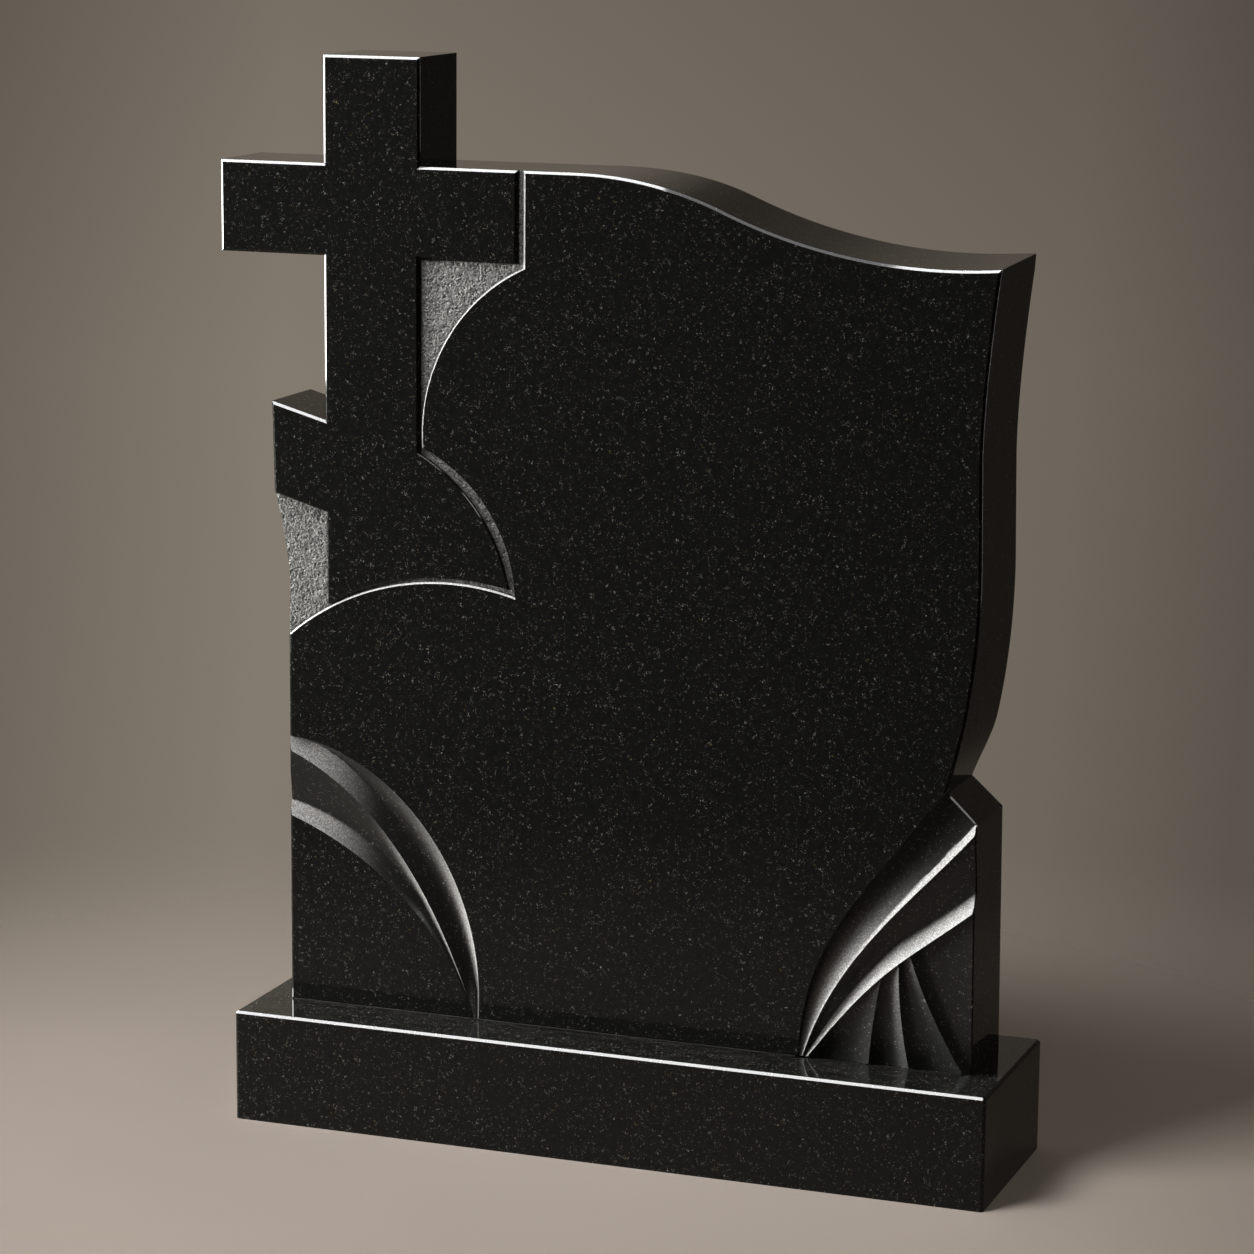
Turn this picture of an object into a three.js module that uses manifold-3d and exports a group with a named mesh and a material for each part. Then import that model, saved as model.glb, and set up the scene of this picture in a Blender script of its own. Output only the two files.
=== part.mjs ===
// Black granite headstone: a carved slab standing on a plinth.
// The slab is one stone: a cross with a slanted lower bar stands proud of a sunk, rough ground
// on the left, a plain polished panel with a curved top fills the middle and right,
// two flutes sweep across the lower left, and a fan of folds is carved at the lower right.
// Millimetres, +X to the right, +Y to the back, +Z up.
// The origin is the middle of the plinth's underside.

import * as THREE from 'three';
import { mergeVertices } from 'three/addons/utils/BufferGeometryUtils.js';
import Module from 'manifold-3d';

const wasm = await Module();
wasm.setup();

// Driving dimensions

const PLINTH = { width: 900, depth: 240, height: 130, chamfer: 4 };

const SLAB = {
  front: -50,
  thickness: 110,
  chamfer: 4,
  backArris: 1.5,
  left: -410.5,
  right: 412.5,
  joint: 0.3,
  jointArris: 2.5,
};

// The panel's right side and top lean out towards the back. The side's lean grows from the notch
// up, the top's from the crest to the right, and the folded block leans less
const LEAN = { side: 9.5, lowZ: 440, highZ: 520, top: 8, leftX: -80, rightX: 120, block: 1, foot: 4 };

const CROSS = {
  top: 1230,
  uprightLeft: -363.5,
  uprightRight: -246,
  armLeft: -491,
  armRight: -128,
  armTop: 1109,
  armBottom: 1005,
  lowerLeft: -361,
  barLeft: -430,
  barFoot: -427.5,
  barTop: 836,
  barHeight: 105.5,
  barSlope: 0.277,
};

// The panel's top edge is an ogee: a crest, a fall and a shallow dip before the right corner
const TOP = { crestX: -60, dipX: 365, dipZ: 1021, dipRadius: 640, cornerX: 425 };

// The right edge swells and tucks in to a notch above the folded block
const SIDE = { waistX: 409, waistZ: 815, bellyX: 411.5, bellyZ: 690, notchX: 377.5, notchZ: 446, blockZ: 414 };

const GROUND = {
  depth: 5,
  stripRight: -123,
  crossEdge: 4,
  panelEdge: 2,
  arcEdge: 0.8,
};

const FLUTE = { depth: 9, lowerDepth: 7, fullWidth: 56, stations: 30, steps: 8 };

const FAN = {
  ribbonDepth: 10,
  ribbonCrest: 0.6,
  pleatDepth: 9,
  pleatCrest: 2,
  fullWidth: 40,
  drop: 1.6,
  steepness: 2.2,
  steps: 6,
};

const GRANITE = new THREE.MeshStandardMaterial({ color: 0x1b1b1a, roughness: 0.12, metalness: 0 });

// Plane curves

const point = (x, z) => new THREE.Vector2(x, z);

function bezier(a, b, c, d) {
  return new THREE.CubicBezierCurve(point(...a), point(...b), point(...c), point(...d));
}

// Points of the circular arc from a to c through b, both ends included
function arcThrough(a, b, c, steps) {
  const ab = point(b[0] - a[0], b[1] - a[1]);
  const ac = point(c[0] - a[0], c[1] - a[1]);
  const twice = 2 * ab.cross(ac);
  const centre = point(
    a[0] + (ac.y * ab.lengthSq() - ab.y * ac.lengthSq()) / twice,
    a[1] + (ab.x * ac.lengthSq() - ac.x * ab.lengthSq()) / twice,
  );
  const radius = centre.distanceTo(point(...a));
  const from = Math.atan2(a[1] - centre.y, a[0] - centre.x);
  let to = Math.atan2(c[1] - centre.y, c[0] - centre.x);
  const clockwise = twice < 0;
  if (clockwise && to > from) to -= 2 * Math.PI;
  if (!clockwise && to < from) to += 2 * Math.PI;
  return Array.from({ length: steps + 1 }, (_, i) => {
    const angle = from + ((to - from) * i) / steps;
    return point(centre.x + radius * Math.cos(angle), centre.y + radius * Math.sin(angle));
  });
}

// A closed loop moved inwards, each edge by its own width, with mitred corners
function inset(loop, widths) {
  const count = loop.length;
  const sides = loop.map((start, i) => {
    const along = loop[(i + 1) % count].clone().sub(start).normalize();
    const width = Array.isArray(widths) ? widths[i] : widths;
    return { along, inward: point(-along.y, along.x), width };
  });
  return loop.map((corner, i) => {
    const before = sides[(i + count - 1) % count];
    const after = sides[i];
    const turn = before.along.cross(after.along);
    if (Math.abs(turn) < 1e-3) return corner.clone().addScaledVector(after.inward, after.width);
    const p = corner.clone().addScaledVector(before.inward, before.width);
    const q = corner.clone().addScaledVector(after.inward, after.width);
    const reach = q.clone().sub(p).cross(after.along) / turn;
    return p.addScaledVector(before.along, reach);
  });
}

// Closed solids

function geometryFrom(points, triangles) {
  const geometry = new THREE.BufferGeometry();
  geometry.setAttribute('position', new THREE.Float32BufferAttribute(points.flatMap((p) => p.toArray()), 3));
  geometry.setIndex(triangles.flat());
  return geometry;
}

function solidFrom(points, triangles) {
  let volume = 0;
  for (const [a, b, c] of triangles) {
    volume += points[a].dot(points[b].clone().cross(points[c]));
  }
  const outward = volume > 0 ? triangles : triangles.map(([a, b, c]) => [a, c, b]);
  const merged = mergeVertices(geometryFrom(points, outward), 1e-4);
  const mesh = new wasm.Mesh({
    numProp: 3,
    vertProperties: merged.attributes.position.array,
    triVerts: Uint32Array.from(merged.index.array),
  });
  return new wasm.Manifold(mesh);
}

// A stack of loops with equal numbers of points, closed by a flat cap at each end
function stackedSolid(rings) {
  const count = rings[0].flat.length;
  const points = rings.flatMap((ring) => ring.flat.map((p) => ring.place(p)));
  const cap = THREE.ShapeUtils.triangulateShape(rings[0].flat, []);
  const lastCap = THREE.ShapeUtils.triangulateShape(rings[rings.length - 1].flat, []);
  const last = (rings.length - 1) * count;
  const triangles = cap.map(([a, b, c]) => [a, c, b]);
  triangles.push(...lastCap.map((face) => face.map((i) => i + last)));
  for (let level = 0; level < rings.length - 1; level += 1) {
    for (let i = 0; i < count; i += 1) {
      const a = level * count + i;
      const b = level * count + ((i + 1) % count);
      triangles.push([a, b, b + count], [a, b + count, a + count]);
    }
  }
  return solidFrom(points, triangles);
}

// A ring of the slab or of a cutter, at a depth behind the slab's front face
const slabRing = (flat, depth) => ({
  flat,
  place: (p) => new THREE.Vector3(p.x, SLAB.front + depth, p.y),
});

// A cutter between a carved surface, given as rows of points, and a plane clear of the front face
const CLEAR = 6;

function carvingCutter(rows) {
  const across = rows[0].length;
  const deep = rows.flat();
  const front = deep.map((p) => new THREE.Vector3(p.x, SLAB.front - CLEAR, p.z));
  const points = [...deep, ...front];
  const shift = deep.length;
  const triangles = [];
  for (let i = 0; i < rows.length - 1; i += 1) {
    for (let j = 0; j < across - 1; j += 1) {
      const a = i * across + j;
      const b = a + 1;
      const c = b + across;
      const d = a + across;
      triangles.push([a, b, c], [a, c, d]);
      triangles.push([a + shift, c + shift, b + shift], [a + shift, d + shift, c + shift]);
    }
  }
  const rim = [];
  for (let j = 0; j < across - 1; j += 1) rim.push(j);
  for (let i = 0; i < rows.length - 1; i += 1) rim.push(i * across + across - 1);
  for (let j = across - 1; j > 0; j -= 1) rim.push((rows.length - 1) * across + j);
  for (let i = rows.length - 1; i > 0; i -= 1) rim.push(i * across);
  rim.forEach((a, i) => {
    const b = rim[(i + 1) % rim.length];
    triangles.push([b, a, a + shift], [b, a + shift, b + shift]);
  });
  return solidFrom(points, triangles);
}

// The top edge from the right corner to the crest: two arcs that meet with one slope

const topSlope = 2 * Math.atan2(CROSS.armTop - TOP.dipZ, TOP.dipX - TOP.crestX);
const crestRadius = (TOP.dipX - TOP.crestX) / Math.sin(topSlope) - TOP.dipRadius;

const dipPoint = (angle) =>
  point(TOP.dipX + TOP.dipRadius * Math.sin(angle), TOP.dipZ + TOP.dipRadius * (1 - Math.cos(angle)));
const crestPoint = (angle) =>
  point(TOP.crestX + crestRadius * Math.sin(angle), CROSS.armTop - crestRadius * (1 - Math.cos(angle)));
const cornerAngle = Math.asin((TOP.cornerX - TOP.dipX) / TOP.dipRadius);
const cornerZ = dipPoint(cornerAngle).y;

function topEdge(steps) {
  const points = [];
  for (let i = 0; i <= steps; i += 1) {
    points.push(dipPoint(THREE.MathUtils.lerp(cornerAngle, -topSlope, i / steps)));
  }
  for (let i = 1; i <= steps; i += 1) {
    points.push(crestPoint(THREE.MathUtils.lerp(topSlope, 0, i / steps)));
  }
  return points;
}

const barRise = (x) => CROSS.barTop - (x - CROSS.barLeft) * CROSS.barSlope;
const barUnderside = (x) => barRise(x) - CROSS.barHeight;

// The ground's free edge curves from under the slanted bar to the slab's left side
const GROUND_FOOT = [SLAB.left, 566];
const groundEdge = bezier(
  [CROSS.barFoot + 1, barUnderside(CROSS.barFoot) - 2],
  [-405, 634],
  [SLAB.left, 634],
  GROUND_FOOT,
);

// The slab's outline, counter-clockwise from its lower left corner, seen from the front.
// The lean is 0 for the outline at the front and 1 for the outline at the back.
function slabOutline(lean) {
  const bottom = PLINTH.height + SLAB.joint;
  const sideways = (p) => {
    const share = THREE.MathUtils.smoothstep(p.y, LEAN.lowZ, LEAN.highZ);
    return point(p.x + lean * LEAN.side * share, p.y);
  };
  const upwards = (p) => {
    const share = THREE.MathUtils.smoothstep(p.x, LEAN.leftX, LEAN.rightX);
    return point(p.x, p.y + lean * LEAN.top * share);
  };
  const [corner, ...top] = topEdge(12);
  const upperSide = bezier(
    [SIDE.waistX, SIDE.waistZ],
    [SIDE.waistX, 880],
    [417, 960],
    [TOP.cornerX, cornerZ],
  );
  const lowerSide = bezier(
    [SIDE.notchX, SIDE.notchZ],
    [397, 510],
    [SIDE.bellyX, 590],
    [SIDE.bellyX, SIDE.bellyZ],
  );
  return [
    point(SLAB.left, bottom),
    point(SLAB.right + lean * LEAN.foot, bottom),
    point(SLAB.right + lean * LEAN.block, SIDE.blockZ),
    ...lowerSide.getPoints(10).map(sideways),
    ...upperSide.getPoints(8).slice(0, -1).map(sideways),
    upwards(sideways(corner)),
    ...top.map(upwards),
    point(CROSS.uprightRight, CROSS.armTop),
    point(CROSS.uprightRight, CROSS.top),
    point(CROSS.uprightLeft, CROSS.top),
    point(CROSS.uprightLeft, CROSS.armTop),
    point(CROSS.armLeft, CROSS.armTop),
    point(CROSS.armLeft, CROSS.armBottom),
    point(CROSS.uprightLeft, CROSS.armBottom),
    point(CROSS.uprightLeft, barRise(CROSS.uprightLeft)),
    point(CROSS.barLeft, CROSS.barTop),
    point(CROSS.barFoot, barUnderside(CROSS.barFoot)),
    ...groundEdge.getPoints(8).slice(1),
  ];
}

function slabBlank() {
  const outline = slabOutline(0);
  const leaned = slabOutline(1);
  const back = SLAB.thickness;
  // The bottom edge, the outline's first, stands on the plinth and has a smaller chamfer
  const frontEdges = outline.map((_, i) => (i === 0 ? SLAB.jointArris : SLAB.chamfer));
  return stackedSolid([
    slabRing(inset(outline, frontEdges), 0),
    slabRing(outline, SLAB.chamfer),
    slabRing(leaned, back - SLAB.backArris),
    slabRing(inset(leaned, SLAB.backArris), back),
  ]);
}

// The sunk ground: a triangle below the cross's right arm, a strip beside the arm's end,
// a band that follows the cross's curved foot, and a field below the slanted bar

const FOOT = {
  cusp: [-243.6, 793],
  bandMiddle: [-185.5, 753.5],
  bandEnd: [-130.3, 629.3],
  bulgeStart: [CROSS.uprightRight, 785],
  bulgeMiddle: [-197, 748.5],
  bulgeEnd: [-138.5, 637],
  soleMiddle: [-225, 644.2],
  soleEnd: [CROSS.lowerLeft, 604.5],
  moundMiddle: [-225, 640.2],
  triangleMiddle: [-197, 942],
};

function groundCutter() {
  const overshoot = 30;
  const left = SLAB.left - overshoot;
  const triangleTop = [GROUND.stripRight, 1000.5];
  const above = CROSS.armTop + overshoot;
  const bulge = arcThrough(FOOT.bulgeStart, FOOT.bulgeMiddle, FOOT.bulgeEnd, 10);
  const sole = arcThrough(FOOT.bulgeEnd, FOOT.soleMiddle, FOOT.soleEnd, 12);
  const mound = arcThrough(GROUND_FOOT, FOOT.moundMiddle, FOOT.bandEnd, 14);
  const band = arcThrough(FOOT.bandEnd, FOOT.bandMiddle, FOOT.cusp, 10);
  const triangle = arcThrough(FOOT.cusp, FOOT.triangleMiddle, triangleTop, 12);
  // Counter-clockwise, each stretch with the width of the chamfer along it
  const stretches = [
    { from: [point(CROSS.armRight, above)], edge: GROUND.crossEdge },
    { from: [point(CROSS.armRight, CROSS.armBottom)], edge: GROUND.crossEdge },
    { from: [point(CROSS.uprightRight, CROSS.armBottom)], edge: GROUND.crossEdge },
    { from: bulge.slice(0, -1), edge: GROUND.arcEdge },
    { from: sole, edge: GROUND.panelEdge },
    { from: [point(CROSS.lowerLeft, barUnderside(CROSS.lowerLeft))], edge: GROUND.panelEdge },
    { from: [point(left, barUnderside(left))], edge: 0 },
    { from: [point(left, GROUND_FOOT[1] - overshoot)], edge: GROUND.panelEdge },
    { from: mound.slice(0, -1), edge: GROUND.panelEdge },
    { from: band.slice(0, -1), edge: GROUND.arcEdge },
    { from: triangle.slice(0, -1), edge: GROUND.panelEdge },
    { from: triangle.slice(-1), edge: GROUND.crossEdge },
    { from: [point(GROUND.stripRight, above)], edge: 0 },
  ];
  const floor = stretches.flatMap((stretch) => stretch.from);
  const opening = inset(floor, stretches.flatMap((stretch) => stretch.from.map(() => -stretch.edge)));
  return stackedSolid([
    slabRing(opening, -CLEAR),
    slabRing(opening, 0),
    slabRing(floor, GROUND.crossEdge),
    slabRing(floor, GROUND.depth),
  ]);
}

// A point of a carved surface, at a depth behind the slab's front face
const carved = (place, depth) => new THREE.Vector3(place.x, SLAB.front + depth, place.y);

// Two concave flutes between three sweeping arrises that run together at the foot

const ARRIS = {
  upper: bezier([-414, 447], [-283, 439], [-160, 304], [-174, 127]),
  middle: bezier([-415, 431], [-262, 372], [-203, 198], [-176, 127]),
  lower: bezier([-415, 355], [-284, 309], [-213, 224], [-178, 127]),
};

// The lower flute's valley starts near its lower arris and moves to the middle
const lowerValley = (along) => 0.8 - 0.32 * Math.min(1, along / 0.4);

function fluteSurface() {
  const rows = [];
  for (let i = 0; i <= FLUTE.stations; i += 1) {
    const along = i / FLUTE.stations;
    const [upper, middle, lower] = Object.values(ARRIS).map((arris) => arris.getPoint(along));
    const upperDepth = FLUTE.depth * Math.min(1, upper.distanceTo(middle) / FLUTE.fullWidth);
    const lowerDepth = FLUTE.lowerDepth * Math.min(1, middle.distanceTo(lower) / FLUTE.fullWidth);
    const valley = lowerValley(along);
    const row = [];
    for (let j = 0; j < FLUTE.steps; j += 1) {
      const v = j / FLUTE.steps;
      row.push(carved(upper.clone().lerp(middle, v), upperDepth * Math.sin(Math.PI * v)));
    }
    for (let j = 0; j <= FLUTE.steps; j += 1) {
      // Half of the steps go down to the valley, and half come up from it
      const half = FLUTE.steps / 2;
      const down = j / half;
      const up = (j - half) / half;
      const v = j <= half ? valley * down : valley + (1 - valley) * up;
      const depth = lowerDepth * (j <= half ? down : Math.cos((Math.PI / 2) * up));
      row.push(carved(middle.clone().lerp(lower, v), depth));
    }
    rows.push(row);
  }
  return rows;
}

// The fan: two long ribbons, each hollow and rising to a crest, and pleats that spread below them

const RIBBON = {
  wall: bezier([378, 452], [294, 330], [216, 274], [213, 126]),
  upper: bezier([413, 406], [342, 321], [252, 252], [217, 126]),
  lower: bezier([410, 315], [327, 247], [305, 243], [220, 126]),
};

// Each pleat's crest starts at a place along the lower ribbon and ends at its own foot
const PLEATS = [
  { along: -0.12, foot: 480 },
  { along: 0.34, foot: 407 },
  { along: 0.42, foot: 343 },
  { along: 0.545, foot: 295 },
  { along: 1, foot: 220 },
];

// A place on a curve, or before its start along the tangent there
function placeOn(curve, along) {
  if (along >= 0) return curve.getPoint(along);
  return curve.getPoint(0).addScaledVector(curve.getTangent(0), along * curve.getLength());
}

// A hollow's depth, which rises ever more steeply to its crest as height goes from 0 to 1
const hollow = (height, depth, crest) => crest + (depth - crest) * (1 - height ** FAN.steepness);

// Stations run from the right-hand side to the foot, and fall from each crest to the next valley
function fanStations() {
  const stations = [];
  PLEATS.slice(0, -1).forEach((crest, i) => {
    const next = PLEATS[i + 1];
    const steps = i === 0 ? 9 : 6;
    const lowest = i === 0 ? 0.35 : 0;
    for (let j = 0; j <= steps; j += 1) {
      const v = j === steps ? 1 - 0.2 / steps : j / steps;
      stations.push({
        along: THREE.MathUtils.lerp(crest.along, next.along, v),
        foot: THREE.MathUtils.lerp(crest.foot, next.foot, v),
        height: THREE.MathUtils.lerp(1, lowest, v),
      });
    }
  });
  return [...stations, { ...PLEATS[PLEATS.length - 1], height: 1 }];
}

function fanSurface() {
  const toe = PLINTH.height - 4;
  const ease = (j, steps) => Math.sin(((Math.PI / 2) * j) / steps);
  return fanStations().map(({ along, foot, height }) => {
    const [wall, upper, lower] = Object.values(RIBBON).map((curve) => placeOn(curve, along));
    const row = [];
    const addHollow = (from, to, drop) => {
      const width = from.distanceTo(to);
      const depth = FAN.ribbonDepth * Math.min(1, width / FAN.fullWidth);
      const start = Math.min(0.2, drop / width);
      for (let j = 0; j <= FAN.steps; j += 1) {
        const v = ease(j, FAN.steps);
        const place = from.clone().lerp(to, start + (1 - start) * v);
        row.push(carved(place, hollow(v, depth, FAN.ribbonCrest)));
      }
    };
    addHollow(wall, upper, 0);
    addHollow(upper, lower, FAN.drop);
    const end = point(foot, toe);
    const reach = lower.distanceTo(end);
    const start = Math.min(0.3, FAN.drop / Math.max(reach, FAN.drop));
    const depth = FAN.pleatDepth * Math.min(1, reach / FAN.fullWidth);
    for (let j = 0; j <= 3; j += 1) {
      const v = start + ((1 - start) * j) / 3;
      const spread = THREE.MathUtils.lerp(0.6, 1, v);
      row.push(carved(lower.clone().lerp(end, v), hollow(height, depth * spread, FAN.pleatCrest * spread)));
    }
    return row;
  });
}

function headstoneSlab() {
  const carvings = [groundCutter(), carvingCutter(fluteSurface()), carvingCutter(fanSurface())];
  return carvings.reduce((stone, cutter) => stone.subtract(cutter), slabBlank());
}

function plinthBlock() {
  const { width, depth, height, chamfer } = PLINTH;
  const block = [
    point(-width / 2, -depth / 2),
    point(width / 2, -depth / 2),
    point(width / 2, depth / 2),
    point(-width / 2, depth / 2),
  ];
  // The upright corners are chamfered too, so each corner becomes two points
  const outline = block.flatMap((corner, i) => {
    const towards = (other) => corner.clone().add(other.clone().sub(corner).setLength(chamfer));
    return [towards(block[(i + 3) % 4]), towards(block[(i + 1) % 4])];
  });
  const level = (flat, z) => ({ flat, place: (p) => new THREE.Vector3(p.x, p.y, z) });
  return stackedSolid([
    level(outline, 0),
    level(outline, height - chamfer),
    level(inset(outline, chamfer), height),
  ]);
}

function namedMesh(name, solid) {
  const { vertProperties, triVerts } = solid.getMesh();
  const geometry = new THREE.BufferGeometry();
  geometry.setAttribute('position', new THREE.Float32BufferAttribute(vertProperties, 3));
  geometry.setIndex(new THREE.Uint32BufferAttribute(triVerts, 1));
  geometry.computeVertexNormals();
  const mesh = new THREE.Mesh(geometry, GRANITE.clone());
  mesh.name = name;
  return mesh;
}

const headstone = new THREE.Group();
headstone.add(namedMesh('headstone_slab', headstoneSlab()));
headstone.add(namedMesh('plinth', plinthBlock()));

export default headstone;
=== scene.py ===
"""Black granite headstone: a slab with a relief cross, sunk hammered ground, flutes and a fan of
folds, on a plain plinth. The plane outlines are in millimetres, x to the right and z up, and the
sizes that a user can change are in metres. The front of the slab faces -Y."""

import math

import bmesh
import bpy
import numpy as np
from bpy.props import FloatProperty, FloatVectorProperty, PointerProperty
from mathutils import Matrix, Vector, geometry, noise
from mathutils.bvhtree import BVHTree


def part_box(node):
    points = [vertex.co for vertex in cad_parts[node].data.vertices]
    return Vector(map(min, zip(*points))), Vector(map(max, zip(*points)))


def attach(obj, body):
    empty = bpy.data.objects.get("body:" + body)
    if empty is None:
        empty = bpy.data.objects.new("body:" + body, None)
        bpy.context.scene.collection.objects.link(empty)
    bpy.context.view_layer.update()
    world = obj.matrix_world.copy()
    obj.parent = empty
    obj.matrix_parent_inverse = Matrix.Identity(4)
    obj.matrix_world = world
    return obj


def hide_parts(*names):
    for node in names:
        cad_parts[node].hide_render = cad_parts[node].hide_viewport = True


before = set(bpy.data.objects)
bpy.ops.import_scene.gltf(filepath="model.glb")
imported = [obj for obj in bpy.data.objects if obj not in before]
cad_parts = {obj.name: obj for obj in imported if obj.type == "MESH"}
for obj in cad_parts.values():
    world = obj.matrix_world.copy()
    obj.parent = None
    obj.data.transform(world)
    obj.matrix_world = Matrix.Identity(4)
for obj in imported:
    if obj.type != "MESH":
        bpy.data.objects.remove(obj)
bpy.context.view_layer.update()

bl_info = {
    "name": "Granite Headstone",
    "version": (1, 0, 0),
    "blender": (4, 5, 0),
    "location": "3D View > Sidebar > Headstone",
    "description": "Builds a carved black granite headstone with its plinth and a plain studio",
    "category": "Object",
}

MM = 0.001

# The boxes of the two stones, in millimetres
SLAB_LOW, SLAB_HIGH = (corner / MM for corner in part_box("headstone_slab"))
PLINTH_LOW, PLINTH_HIGH = (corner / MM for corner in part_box("plinth"))

FRONT = SLAB_LOW.y
BACK = SLAB_HIGH.y
JOINT = SLAB_LOW.z
LEFT = -410.5
RIGHT = 412.5

# The cross, with its slanted lower bar at the slab's left edge
UPRIGHT_LEFT = -363.5
UPRIGHT_RIGHT = -246
CROSS_TOP = SLAB_HIGH.z
ARM_LEFT = SLAB_LOW.x
ARM_RIGHT = -128
ARM_TOP = 1109
ARM_BOTTOM = 1005
LOWER_LEFT = -361
BAR_LEFT = -430
BAR_FOOT = -427.5
BAR_TOP = 836
BAR_HEIGHT = 105.5
BAR_SLOPE = 0.277

# The panel's top edge falls from a crest to a shallow dip before the right corner
CREST_X = -60
DIP_X = 365
DIP_Z = 1021
DIP_RADIUS = 640
CORNER_X = 425

# The right edge swells and tucks in to a notch above the folded block
WAIST = (409, 815)
BELLY = (411.5, 690)
NOTCH = (377.5, 446)
BLOCK_Z = 414

# The panel's right side and top lean out towards the back, growing from the notch up and from the
# crest to the right, and the folded block leans less
SIDE_LEAN = 9.5
SIDE_LEAN_LOW = 440
SIDE_LEAN_HIGH = 520
TOP_LEAN = 8
TOP_LEAN_LEFT = -80
TOP_LEAN_RIGHT = 120
BLOCK_LEAN = 1
FOOT_LEAN = 4

# The sunk ground
STRIP_RIGHT = -123
GROUND_FOOT = (LEFT, 566)
CROSS_EDGE = 4
PANEL_EDGE = 2
ARC_EDGE = 0.8
OVERSHOOT = 6

# The chamfer of the slab's bottom edge, as a share of the other chamfers
JOINT_SHARE = 0.833

ROUNDING_STEPS = 3
SHARP_ANGLE = 26

ROOT = "root"


def linear(code):
    """An sRGB hex colour as linear red, green and blue"""
    parts = [int(code[i : i + 2], 16) / 255 for i in (0, 2, 4)]
    return [part / 12.92 if part <= 0.04045 else ((part + 0.055) / 1.055) ** 2.4 for part in parts]


def length(name, description, default):
    """A length that a user can change, with its default in millimetres"""
    return FloatProperty(
        name=name,
        description=description,
        default=default * MM,
        min=0,
        soft_max=0.05,
        unit="LENGTH",
        precision=4,
    )


def colour(name, description, code):
    return FloatVectorProperty(
        name=name,
        description=description,
        default=linear(code),
        subtype="COLOR",
        min=0,
        max=1,
    )


class HeadstoneSizes(bpy.types.PropertyGroup):
    chamfer: length("Chamfer", "Width of the chamfer around every front edge", 3)
    rounding: length("Rounding", "Radius that polishing leaves on the chamfers' own edges", 0.9)
    back_arris: length("Back arris", "Width of the small chamfer around the back", 1.5)
    carving_arris: length("Carving arris", "Width of the chamfer where the fan meets the side", 1.4)
    ground_depth: length("Ground depth", "Depth of the sunk ground behind the polished face", 5)
    ground_relief: length("Ground relief", "Height of the hammered crumb on the sunk ground", 1)
    ground_grain: length("Ground grain", "Width of one crumb of the hammered ground", 2.6)
    flute_depth: length("Flute depth", "Depth of the upper flute", 9)
    lower_flute_depth: length("Lower flute depth", "Depth of the lower flute", 7)
    ribbon_depth: length("Ribbon depth", "Depth of the hollows above the fan's two crests", 10)
    pleat_depth: length("Pleat depth", "Depth of the valleys between the fan's pleats", 9)
    crystal: length("Crystal", "Length of the pale crystals in the granite", 2.2)


class HeadstoneColours(bpy.types.PropertyGroup):
    black: colour("Black", "Ground mass of the polished granite", "131312")
    charcoal: colour("Charcoal", "Lighter clouds in the ground mass", "1f1f1d")
    crystal: colour("Crystal", "Feldspar crystals", "b2b2ab")
    gold: colour("Gold", "Bronze-tinted crystals", "8f8150")
    wiped: colour("Wiped", "Dull smears on the faces that look up", "4c4b48")
    # Frost and frost grain are painted light: the carving's frosted grey, given only to the sides
    # turned towards the light
    lit_frost_grey: colour("Frost", "Sides of the carving frosted by the grit", "7a7976")
    lit_frost_grain: colour("Frost grain", "Pale grain of the frosted sides", "d2d1cd")
    hammered: colour("Hammered", "Hollows of the hammered ground", "393834")
    hammered_crumb: colour("Hammered crumb", "Bruised crumbs of the hammered ground", "9e9d97")
    mortar: colour("Mortar", "Setting mortar in the joint", "b4b1aa")
    floor: colour("Floor", "Studio floor", "b9ada3")
    backdrop: colour("Backdrop", "Studio backdrop", "726a60")


# Plane curves


def bezier(*knots):
    """A cubic curve through the first and last of four points, as a function of a share from 0 to 1"""
    a, b, c, d = (Vector(knot) for knot in knots)

    def at(t):
        s = 1 - t
        return a * s**3 + b * (3 * s * s * t) + c * (3 * s * t * t) + d * t**3

    return at


def sampled(curve, steps):
    return [curve(i / steps) for i in range(steps + 1)]


def arc_through(a, b, c, steps):
    """Points of the circular arc from a to c through b, both ends included"""
    a, b, c = Vector(a), Vector(b), Vector(c)
    ab = b - a
    ac = c - a
    twice = 2 * ab.cross(ac)
    offset = Vector((ac.y * ab.length_squared - ab.y * ac.length_squared, 0)) / twice
    offset.y = (ab.x * ac.length_squared - ac.x * ab.length_squared) / twice
    centre = a + offset
    radius = offset.length
    start = math.atan2(a.y - centre.y, a.x - centre.x)
    end = math.atan2(c.y - centre.y, c.x - centre.x)
    if twice < 0 and end > start:
        end -= 2 * math.pi
    if twice > 0 and end < start:
        end += 2 * math.pi
    angles = [start + (end - start) * i / steps for i in range(steps + 1)]
    return [centre + radius * Vector((math.cos(angle), math.sin(angle))) for angle in angles]


def inset(loop, widths):
    """A closed counter-clockwise loop moved inwards, each edge by its own width, with mitred
    corners"""
    count = len(loop)
    alongs = [(loop[(i + 1) % count] - loop[i]).normalized() for i in range(count)]
    moved = []
    for i, corner in enumerate(loop):
        before, after = alongs[i - 1], alongs[i]
        p = corner + Vector((-before.y, before.x)) * widths[i - 1]
        q = corner + Vector((-after.y, after.x)) * widths[i]
        turn = before.cross(after)
        moved.append(q if abs(turn) < 1e-3 else p + before * ((q - p).cross(after) / turn))
    return moved


def edge_profile(chamfer, rounding):
    """Insets and depths from a flat face, over a rounded 45 degree chamfer, to the side square to
    it"""
    reach = chamfer + rounding * math.tan(math.pi / 8)
    turns = [math.pi / 4 * i / ROUNDING_STEPS for i in range(ROUNDING_STEPS + 1)]
    upper = [(reach - rounding * math.sin(a), rounding * (1 - math.cos(a))) for a in turns]
    lower = [(depth, width) for width, depth in reversed(upper)]
    return upper + lower


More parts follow.
